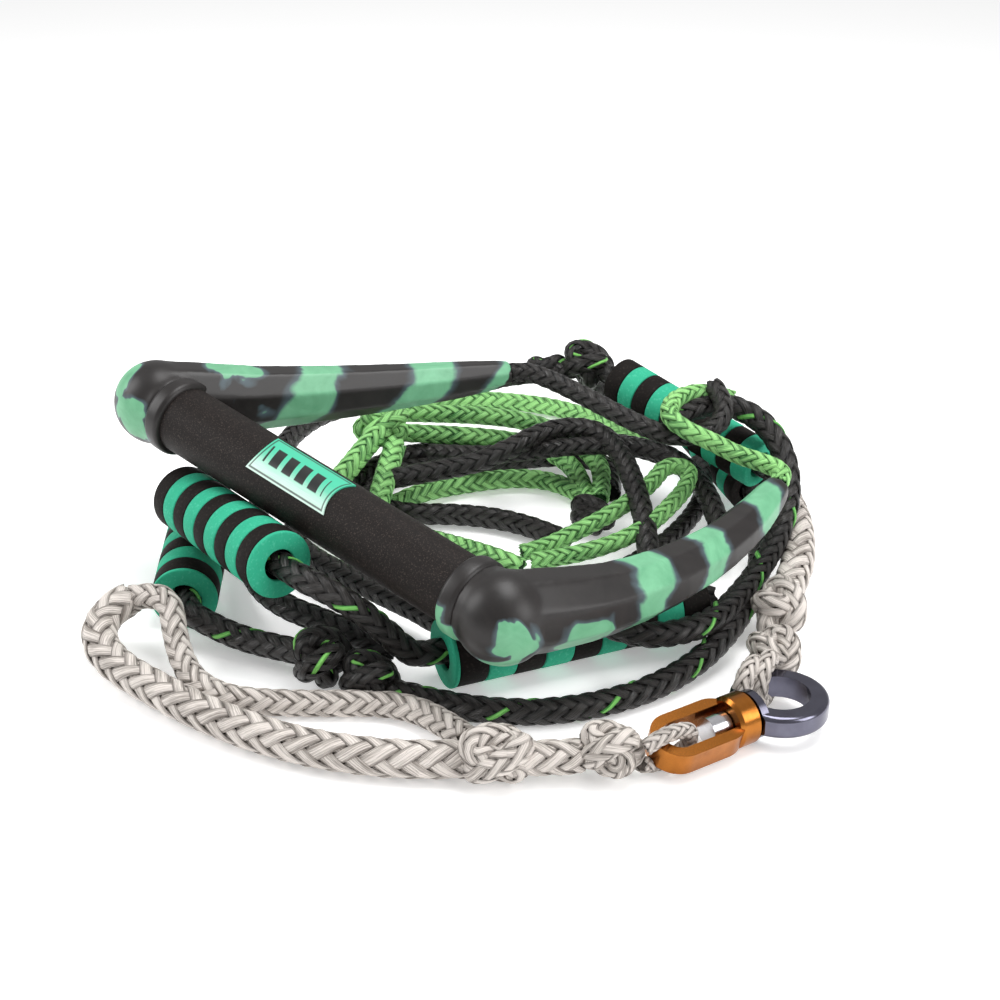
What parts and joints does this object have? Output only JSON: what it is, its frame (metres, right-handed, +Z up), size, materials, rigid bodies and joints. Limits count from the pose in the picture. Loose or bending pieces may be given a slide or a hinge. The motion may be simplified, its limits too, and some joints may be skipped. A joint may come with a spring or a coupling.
{
  "type": "tow rope handle",
  "caption": "Floating triangle tow handle with foam grip, marbled rubber arms, striped foam floats, braided line, knots and swivel, coiled as laid down.",
  "frame": {"origin": "on the grip's axis, 4 mm from its middle towards its upper end", "axes": "+X along the grip seen from above, towards its lower end; +Y towards the tips of the arms; +Z up"},
  "size_m": [0.3772, 0.3764, 0.105],
  "materials": {
    "flecked_rope": "hollow braid with green tracer yarns",
    "black_rope": "hollow braid",
    "grey_rope": "hollow braid",
    "float_foam": "laminated black and blue-green closed foam discs",
    "marbled_rubber": "marbled charcoal and sage moulded rubber, satin",
    "green_rope": "hollow braid",
    "plug_plastic": "moulded",
    "grip_foam": "fine-celled closed foam, matte with a slight sheen",
    "grip_label": "moulded, fading to pale at its lower edge",
    "tube_metal": "satin",
    "bright_steel": "bright",
    "bronze": "cast, brushed on its outer face",
    "gun_metal": "polished grey"
  },
  "bodies": {
    "root": {"apex_knots": "flecked_rope", "arch": "black_rope", "arm_line": "flecked_rope", "boat_knot": "grey_rope", "boat_leg": "grey_rope", "boat_loop": "grey_rope", "boat_neck": "grey_rope", "bridle_rear": "black_rope", "cross_line": "black_rope", "float_line_b": "flecked_rope", "float_line_c": "flecked_rope", "float_line_d": "black_rope", "float_line_e": "black_rope", "front_collar": "marbled_rubber", "front_knuckle": "marbled_rubber", "front_line": "flecked_rope", "front_plug": "plug_plastic", "green_arc": "green_rope", "green_back": "green_rope", "green_bight": "green_rope", "green_knot": "green_rope", "green_link": "green_rope", "green_lower": "green_rope", "green_tail": "green_rope", "green_upper": "green_rope", "grey_tail": "grey_rope", "grip_foam": "grip_foam", "grip_label": "grip_label", "grip_tube": "tube_metal", "inner_knot": "black_rope", "inner_lower": "black_rope", "inner_upper": "black_rope", "line_knots": "flecked_rope", "link_knots": "grey_rope", "link_rope_far": "grey_rope", "link_rope_near": "grey_rope", "low_line": "black_rope", "neck_knot": "grey_rope", "rear_collar": "marbled_rubber", "rear_knuckle": "marbled_rubber", "rear_plug": "plug_plastic", "swivel_axle": "bright_steel", "swivel_balls": "bright_steel", "swivel_eye": "gun_metal", "swivel_nut": "bright_steel", "swivel_washer": "bright_steel", "under_line": "black_rope"},
    "rear_arm": {"rear_arm": "marbled_rubber", "rear_arm_core": "black_rope"},
    "front_arm": {"front_arm": "marbled_rubber", "front_arm_core": "green_rope"},
    "swivel_bow": {"swivel_bow": "bronze", "bow_rope": "grey_rope"},
    "float_a": {"float_a": "float_foam"},
    "float_b": {"float_b": "float_foam"},
    "float_c": {"float_c": "float_foam"},
    "float_d": {"float_d": "float_foam"},
    "float_e": {"float_e": "float_foam"}
  },
  "joints": [
    {"name": "rear_arm_flex", "type": "hinge", "parent": "root", "child": "rear_arm", "pos_m": [-0.10789, 0, 0.01555], "axis": [0, 0, 1], "range_deg": [-8, 8], "stiffness_Nm_per_rad": 3},
    {"name": "front_arm_flex", "type": "hinge", "parent": "root", "child": "front_arm", "pos_m": [0.1158, 0, -0.01669], "axis": [0, 0, 1], "range_deg": [-8, 1.5], "stiffness_Nm_per_rad": 3},
    {"name": "float_a_turn", "type": "hinge", "parent": "root", "child": "float_a", "pos_m": [-0.033, -0.021, -0.01935], "axis": [0.9762, -0.2122, 0.0456], "continuous": true},
    {"name": "float_b_turn", "type": "hinge", "parent": "root", "child": "float_b", "pos_m": [-0.0825, -0.0035, -0.0533], "axis": [0.7071, -0.7071, 0], "continuous": true},
    {"name": "float_c_turn", "type": "hinge", "parent": "root", "child": "float_c", "pos_m": [0.1015, 0.062, -0.0525], "axis": [0.4084, 0.9128, 0], "continuous": true},
    {"name": "float_d_turn", "type": "hinge", "parent": "root", "child": "float_d", "pos_m": [0.0475, 0.2155, -0.018], "axis": [0.9812, -0.0516, -0.1859], "continuous": true},
    {"name": "float_e_turn", "type": "hinge", "parent": "root", "child": "float_e", "pos_m": [0.0445, 0.2495, -0.049], "axis": [0.8814, -0.4604, -0.1052], "continuous": true},
    {"name": "swivel_turn", "type": "hinge", "parent": "root", "child": "swivel_bow", "pos_m": [0.19647, 0.05325, -0.0573], "axis": [0.2394, 0.9709, 0], "continuous": true}
  ]
}
